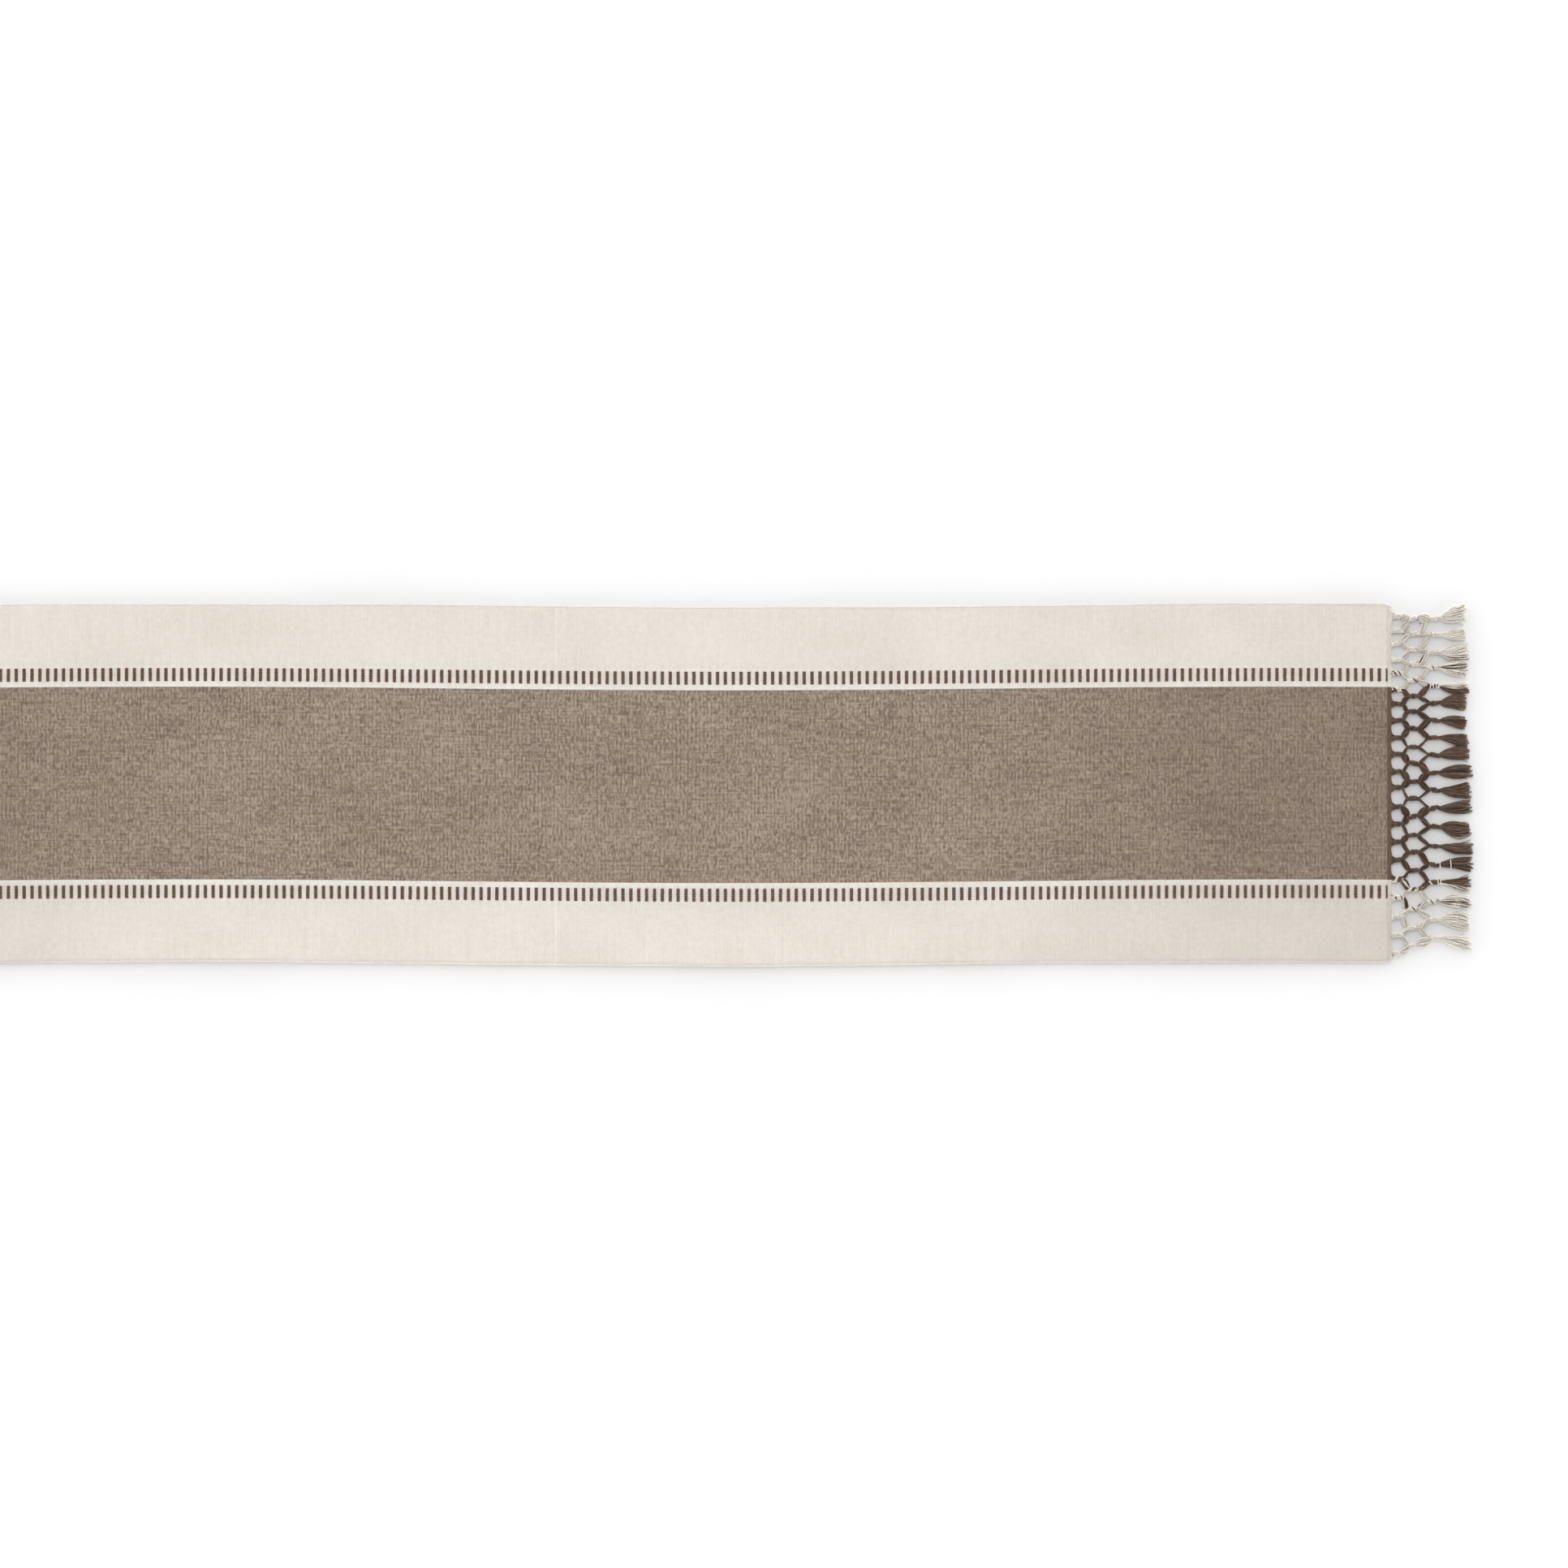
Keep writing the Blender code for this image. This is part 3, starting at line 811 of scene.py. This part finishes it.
def lay_knot(skein, side, centre, reach, tilt, bundle):
    """An overhand knot: a core of yarns with a strap of them wound round it."""
    chance = skein.chance
    turned = np.array([[math.cos(tilt), -math.sin(tilt), 0.0], [math.sin(tilt), math.cos(tilt), 0.0],
                       [0.0, 0.0, 1.0]])

    def placed(points):
        return facing(points @ turned.T * np.array([1.0, 1.0, KNOT_FLATNESS]) + centre, side)

    core_y, core_z = packed(KNOT_CORES, KNOT_CORE_RADIUS)
    for number in range(KNOT_CORES):
        along = np.linspace(-reach - 0.0006, reach + 0.0006, 5)
        points = np.stack([along, core_y[number] + 0.0 * along, core_z[number] + 0.0 * along], -1)
        skein.lay(placed(points), YARN_RADIUS, pick_dye(bundle, number, KNOT_CORES))
    hand = chance.choice((-1.0, 1.0, 1.0))
    start = chance.uniform(0.0, 2.0 * math.pi)
    girth = chance.uniform(0.90, 1.10)
    for number in range(KNOT_WRAPS):
        offset = (number - (KNOT_WRAPS - 1) / 2.0) * 1.70 * YARN_RADIUS
        turn = np.linspace(-KNOT_TURNS * math.pi, KNOT_TURNS * math.pi, 17)
        along = turn / (2.0 * math.pi) * KNOT_PITCH * reach + offset
        along = np.clip(along, -reach, reach)
        taper = np.cos(along / (reach + 0.0012) * math.pi / 2.0) ** 0.40
        tuck = np.clip((KNOT_TURNS * math.pi - np.abs(turn)) / 1.0, 0.0, 1.0)
        swell = (girth * KNOT_WRAP_RADIUS - KNOT_CORE_RADIUS) * taper * (0.3 + 0.7 * tuck)
        radius = KNOT_CORE_RADIUS + swell
        angle = start + hand * turn
        around = np.stack([0.0 * turn, np.cos(angle), np.sin(angle)], -1)
        points = around * radius[:, None] + np.stack([along, 0.0 * turn, 0.0 * turn], -1)
        outward = facing(around @ turned.T, side)
        skein.lay(placed(points), YARN_RADIUS, pick_dye(bundle, number, KNOT_WRAPS), outward=outward)


def curve_between(start, end, lead_out, lead_in, steps):
    """A smooth path that leaves and arrives along the runner's length."""
    t = np.linspace(0.0, 1.0, steps)[:, None]
    first = start + np.array([lead_out, 0.0, 0.0])
    second = end - np.array([lead_in, 0.0, 0.0])
    return ((1 - t) ** 3 * start + 3 * (1 - t) ** 2 * t * first
            + 3 * (1 - t) * t ** 2 * second + t ** 3 * end)


def lay_leg(skein, side, start, end, bundle):
    """A twisted spindle of yarns between two knots."""
    count = len(bundle.dyes)
    steps = 10
    middle = curve_between(start, end, LEG_LEAD, LEG_LEAD, steps)
    along = np.linspace(0.0, 1.0, steps)
    middle[:, 2] += (LEG_HEIGHT - KNOT_Z) * np.sin(math.pi * along)
    direction = end - start
    across = np.array([-direction[1], direction[0], 0.0]) / math.hypot(direction[0], direction[1])
    spread = YARN_RADIUS * (LEG_SPREAD * math.sqrt(count) - 0.55)
    lens = np.sin(math.pi * along) ** 0.8
    thick = spread * (0.40 + 0.60 * lens)
    side_way, upward = packed(count, 1.0)
    begin = skein.chance.uniform(0.0, math.pi)
    swirl = skein.chance.choice((-1.0, 1.0)) * skein.chance.uniform(*LEG_TWIST)
    for number in range(count):
        angle = begin + swirl * along
        flat = side_way[number] * np.cos(angle) - upward[number] * np.sin(angle)
        high = side_way[number] * np.sin(angle) + upward[number] * np.cos(angle)
        path = middle + across[None, :] * (flat * thick)[:, None]
        path[:, 2] = np.maximum(path[:, 2] + high * thick * LEG_FLATNESS, YARN_RADIUS + 0.0002)
        skein.lay(facing(path, side), YARN_RADIUS * (0.84 + LEG_SWELL * lens), bundle.dyes[number])


def lay_roots(skein, side, knot, reach, bundle):
    """Warp yarns from under the last picks, drawn together into the first knot."""
    count = len(bundle.dyes)
    side_way, upward = packed(count, 0.9 * KNOT_WRAP_RADIUS)
    order = np.argsort(side_way)
    direction = OUTWARD[side]
    for place, number in enumerate(order):
        begin_x = CLOTH_END - 0.0016
        gathered = knot[1] + 0.52 * (bundle.sources[place] - knot[1])
        height = float(lift(direction * begin_x, direction * gathered)) + 0.55 * CLOTH_TOP
        begin = np.array([begin_x, gathered, height])
        end = knot + np.array([-0.35 * reach, side_way[number], upward[number] * 0.8])
        path = curve_between(begin, end, 0.0016, 0.0020, 8)
        skein.lay(facing(path, side), YARN_RADIUS, bundle.dyes[place])


def source_bundles(first_row):
    """The warp yarns behind each knot of the first row: half way to its neighbour on each side."""
    places = [place[1] for place in first_row]
    middles = [(low + high) / 2.0 for low, high in zip(places, places[1:])]
    bounds = [-HALF_WIDTH] + middles + [HALF_WIDTH]
    bundles = []
    for start, end in zip(bounds, bounds[1:]):
        share = (end - start) / YARNS_IN_BUNDLE
        sources = [start + share * (number + 0.5) for number in range(YARNS_IN_BUNDLE)]
        dyes = [dye_at(source, number) for number, source in enumerate(sources)]
        bundles.append(Bundle(sources, dyes))
    return bundles


def split_row(bundles, chance):
    """Divide each bundle between the two knots it feeds in the next row."""
    halves = []
    for bundle in bundles:
        count = len(bundle.dyes)
        cut = int(round(count * chance.choice((0.5, 0.5, 0.5, 0.4, 0.6, 0.25, 0.75))))
        halves.append((bundle.part(0, cut), bundle.part(cut, count)))
    return halves


def lay_net(side, knots, material):
    """Roots, knots and legs of one net; gives its objects and the bundles that reach the tassels."""
    chance = random.Random(91 if side == "right" else 92)
    bundles = source_bundles(knots[0])
    roots, ties, legs = Skein(101), Skein(103), Skein(107)
    for knot, bundle in zip(knots[0], bundles):
        lay_roots(roots, side, knot, KNOT_REACH[0], bundle)
    for row, places in enumerate(knots):
        for place, bundle in zip(places, bundles):
            lay_knot(ties, side, place, KNOT_REACH[row], chance.uniform(-KNOT_TILT, KNOT_TILT), bundle)
        if row + 1 < len(knots):
            bundles = lay_legs(legs, side, knots, row, bundles, chance)
    made = [roots.finish(f"warp_roots_{side}", material), ties.finish(f"fringe_knots_{side}", material),
            legs.finish(f"fringe_legs_{side}", material)]
    return made, bundles


def lay_legs(skein, side, knots, row, bundles, chance):
    """All legs between two rows of knots; gives the next row's bundles."""
    halves = split_row(bundles, chance)
    joined = []
    for index, place in enumerate(knots[row + 1]):
        lower, upper = halves[index][1], halves[index + 1][0]
        if index == 0:
            lower = bundles[0]
        if index == len(knots[row + 1]) - 1:
            upper = bundles[-1]
        into = place - np.array([KNOT_REACH[row + 1] * 0.8, 0.0, 0.0])
        for neighbour, bundle, entry in ((index, lower, -LEG_OFFSET), (index + 1, upper, LEG_OFFSET)):
            leave = knots[row][neighbour] + np.array([KNOT_REACH[row] * 0.8, -entry, 0.0])
            lay_leg(skein, side, leave, into + np.array([0.0, entry, 0.0]), bundle)
        joined.append(lower.joined(upper))
    return joined


def tassel(side, number, place, bundle, material):
    """One tassel: the loose ends of its bundle, from inside the last knot to the cut tips."""
    skein = Skein(200 + number + (50 if side == "left" else 0))
    chance = skein.chance
    outermost = 1.0 if number in (1, TASSEL_COUNT) else 0.0
    flare = chance.uniform(*TASSEL_FLARE) + EDGE_FLARE * outermost
    belly = chance.choice((0.0, 0.2, 0.5, 0.8, 1.0))
    quick = chance.uniform(0.50, 0.90)
    lean = chance.uniform(-TASSEL_LEAN, TASSEL_LEAN) * (1.0 - outermost)
    lean += math.copysign(EDGE_SPLAY, place[1]) * outermost
    bow = chance.uniform(-TASSEL_BOW, TASSEL_BOW)
    trimmed = BACK_TRIM * min(max((place[1] - 0.010) / 0.040, 0.0), 1.0)
    length = TASSEL_TIP - place[0] - trimmed - chance.uniform(0.0, TASSEL_RAGGED)
    pack_y, pack_z = packed(STRANDS, 1.0)
    order = np.argsort(np.argsort(pack_y))
    clump_y = np.linspace(-0.86, 0.86, CLUMPS) + [chance.uniform(-0.14, 0.14) for _ in range(CLUMPS)]
    clump_reach = [chance.uniform(0.90, 1.0) for _ in range(CLUMPS)]
    clump_shade = [chance.uniform(0.05, 0.75) for _ in range(CLUMPS)]
    parting = chance.uniform(0.30, 0.75)
    t = np.linspace(0.0, 1.0, 13)
    for strand in range(STRANDS):
        clump = int(order[strand] * CLUMPS / STRANDS)
        reach = length * clump_reach[clump] * (1.0 - 0.10 * chance.random() ** 2) + INSIDE_KNOT
        opening = np.clip((t * reach - NECK_LENGTH) / (reach - NECK_LENGTH), 0.0, 1.0)
        spread = (1.0 - belly) * opening ** quick + belly * np.sin(0.76 * math.pi * opening ** 0.75)
        width = NECK_RADIUS + (flare - NECK_RADIUS) * spread
        thick = NECK_RADIUS + 0.0011 * np.sin(math.pi * 0.75 * opening)
        gather = parting * opening ** 1.6
        strayed = pack_y[strand] + chance.gauss(0.0, 0.16) * opening
        sideways = strayed * (1.0 - gather) + clump_y[clump] * gather
        turn = t * chance.uniform(4.0, 12.0) + chance.uniform(0.0, 6.3)
        wave = chance.uniform(0.0003, 0.0009) * opening * np.sin(turn) + bow * np.sin(math.pi * opening)
        heave = 0.0004 * opening * np.cos(1.3 * turn)
        x = place[0] - INSIDE_KNOT + t * reach
        y = place[1] + sideways * width + lean * opening ** 1.5 + wave
        centre = KNOT_Z - (KNOT_Z - TASSEL_HEIGHT) * opening
        z = np.maximum(centre + pack_z[strand] * thick + heave, STRAND_RADIUS + 0.0001)
        radius = STRAND_RADIUS * (0.85 + 0.40 * np.sin(math.pi * 0.8 * opening) - 0.35 * opening ** 6)
        # The strands grow lighter toward their tips.
        lighter_toward_tips = 0.30 * opening ** 3
        shade = np.clip(clump_shade[clump] + chance.uniform(-0.25, 0.25) + lighter_toward_tips, 0.0, 1.0)
        source = int(min(max(order[strand] + chance.gauss(0.0, STRAND_MIXING), 0), STRANDS - 1))
        path = facing(np.stack([x, y, z], -1), side)
        skein.lay(path, radius, pick_dye(bundle, source, STRANDS), sides=4, shade=shade)
    for _ in range(chance.choice((0, 1, 1, 2))):
        lay_stray(skein, side, place, length, bundle)
    for along in TIES.get(number, ()):
        lay_tie(skein, side, place, along)
    return skein.finish(f"tassel_yarns_{side}_{number:02d}", material)


def lay_stray(skein, side, place, length, bundle):
    """A thin loose yarn that has worked its way out of a tassel."""
    chance = skein.chance
    t = np.linspace(0.0, 1.0, 10)
    out = chance.choice((-1.0, 1.0)) * chance.uniform(0.0045, 0.0085)
    x = place[0] + t * length * chance.uniform(0.80, 1.0)
    y = place[1] + out * t ** 1.6 + 0.0004 * np.sin(9.0 * t)
    z = 0.0022 - 0.0016 * t + 0.0006 * np.sin(3.0 * t)
    dye = chance.choice(bundle.dyes)
    skein.lay(facing(np.stack([x, y, z], -1), side), STRAY_RADIUS, dye, sides=5)


def lay_tie(skein, side, place, along):
    """A thin cream yarn wound once round a knot or a tassel."""
    girth = KNOT_WRAP_RADIUS + YARN_RADIUS + max(0.0, along - 0.003) * 0.28
    turn = np.linspace(0.0, 2.1 * math.pi, 18)
    x = place[0] + along + 0.00015 * turn
    y = place[1] + girth * np.cos(turn)
    z = np.maximum(KNOT_Z + min(KNOT_FLATNESS * girth, 0.0022) * np.sin(turn), TIE_RADIUS + 0.0001)
    path = facing(np.stack([x, y, z], -1), side)
    skein.lay(path, TIE_RADIUS, 1.0, outward=np.array([1.0, 0.0, 0.0]), sides=5)


# ================ assembly


def hang_from_cloth(piece):
    """Set a cloth piece in place, in world coordinates."""
    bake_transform(piece)


def build_end(side, cloth, dash, beaten, yarn, loose):
    """Everything on one half of the runner."""
    knots = knot_places(side)
    sheet = cloth_half(side, cloth)
    hang_from_cloth(sheet)
    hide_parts(*(f"{name}_{part}" for name in SECTIONS for part in ("middle", f"{side}_drop")))
    for edge in ("front", "back"):
        floats = dash_floats(side, edge, dash)
        hang_from_cloth(floats)
    picks = heading(side, knots, beaten)
    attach(picks, f"{side}_drop")
    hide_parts(f"heading_{side}")
    net, bundles = lay_net(side, knots, yarn)
    for piece in net:
        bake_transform(piece)
        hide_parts(f"{side}_knotted_net")
    for index, (place, bundle) in enumerate(zip(knots[2], bundles)):
        number = index + 1 if side == "right" else TASSEL_COUNT - index
        add_tassel(side, number, place, bundle, loose)


def add_tassel(side, number, place, bundle, yarn):
    """A tassel from its own knot, set in place in world coordinates."""
    start = place + np.array([KNOT_REACH[2] - NECK_OVERLAP, 0.0, 0.0])
    made = tassel(side, number, start, bundle, yarn)
    body = f"{side}_tassel_{number:02d}"
    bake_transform(made)
    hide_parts(body)


def add_table():
    """The white surface that the runner lies on."""
    bpy.ops.mesh.primitive_plane_add(size=14.0, location=(0.0, 0.0, 0.0))
    table = bpy.context.object
    table.name = "table_top"
    table.data.materials.append(table_material())


def add_light():
    """Soft daylight from all round, stronger low down and from the back, and one broad lamp."""
    world = bpy.data.worlds.new("soft_studio")
    bpy.context.scene.world = world
    world.use_nodes = True
    w = Wiring(world.node_tree)
    background = world.node_tree.nodes["Background"]
    background.inputs["Color"].default_value = (1.0, 1.0, 1.0, 1.0)
    direction = w.add("ShaderNodeTexCoord").outputs["Generated"]
    split = w.add("ShaderNodeSeparateXYZ")
    w.feed(split.inputs[0], direction)
    low = w.math("POWER", w.math("SUBTRACT", 1.0, w.math("ABSOLUTE", split.outputs[2])), SKY_LOW_POWER)
    back = w.math("MAXIMUM", split.outputs[1], 0.0)
    ring = w.math("MULTIPLY", low, w.math("ADD", SKY_RING, w.math("MULTIPLY", back, SKY_BACK)))
    w.feed(background.inputs["Strength"], w.math("ADD", SKY_BASE, ring))
    lamp = bpy.data.lights.new("broad_lamp", "SUN")
    lamp.energy = LAMP_STRENGTH
    lamp.angle = LAMP_SPREAD
    lamp_object = bpy.data.objects.new("broad_lamp", lamp)
    lamp_object.rotation_euler = LAMP_TURN
    bpy.context.collection.objects.link(lamp_object)


def add_camera():
    """Straight above, with a long lens; the left end runs out of view."""
    seen_width = 1.561
    camera = bpy.data.cameras.new("overhead")
    camera.lens = 100.0
    camera.sensor_width = 36.0
    made = bpy.data.objects.new("overhead", camera)
    made.location = (cad_box[1][0] - 0.6876, 0.0012, seen_width * camera.lens / camera.sensor_width)
    bpy.context.collection.objects.link(made)
    bpy.context.scene.camera = made


def main():
    """Build the runner, its table, light and camera."""
    bpy.context.scene.view_settings.view_transform = "Standard"
    add_camera()
    add_table()
    add_light()
    cloth = cloth_material("striped_cloth", 0.0)
    beaten = cloth_material("beaten_picks", 0.56)
    # The knots' cream is darkened and the tassels' cream lightened, painted light for how the light falls on
    # each.
    shaded_knot_cream = (KNOT_CREAM_SHADED, KNOT_CREAM_SHADED_PALE)
    lit_tassel_cream = (TASSEL_CREAM_LIT, TASSEL_CREAM_LIT_PALE)
    dash = yarn_material("dash_yarn", 0.0030, (DASH_BROWN, DASH_BROWN_LIGHT), shaded_knot_cream)
    yarn = yarn_material("fringe_yarn", 0.0040, (YARN_BROWN, YARN_BROWN_LIGHT), shaded_knot_cream)
    loose = yarn_material("loose_yarn", 0.0060, (LOOSE_BROWN, LOOSE_BROWN_LIGHT), lit_tassel_cream)
    for side in ("right", "left"):
        build_end(side, cloth, dash, beaten, yarn, loose)


main()
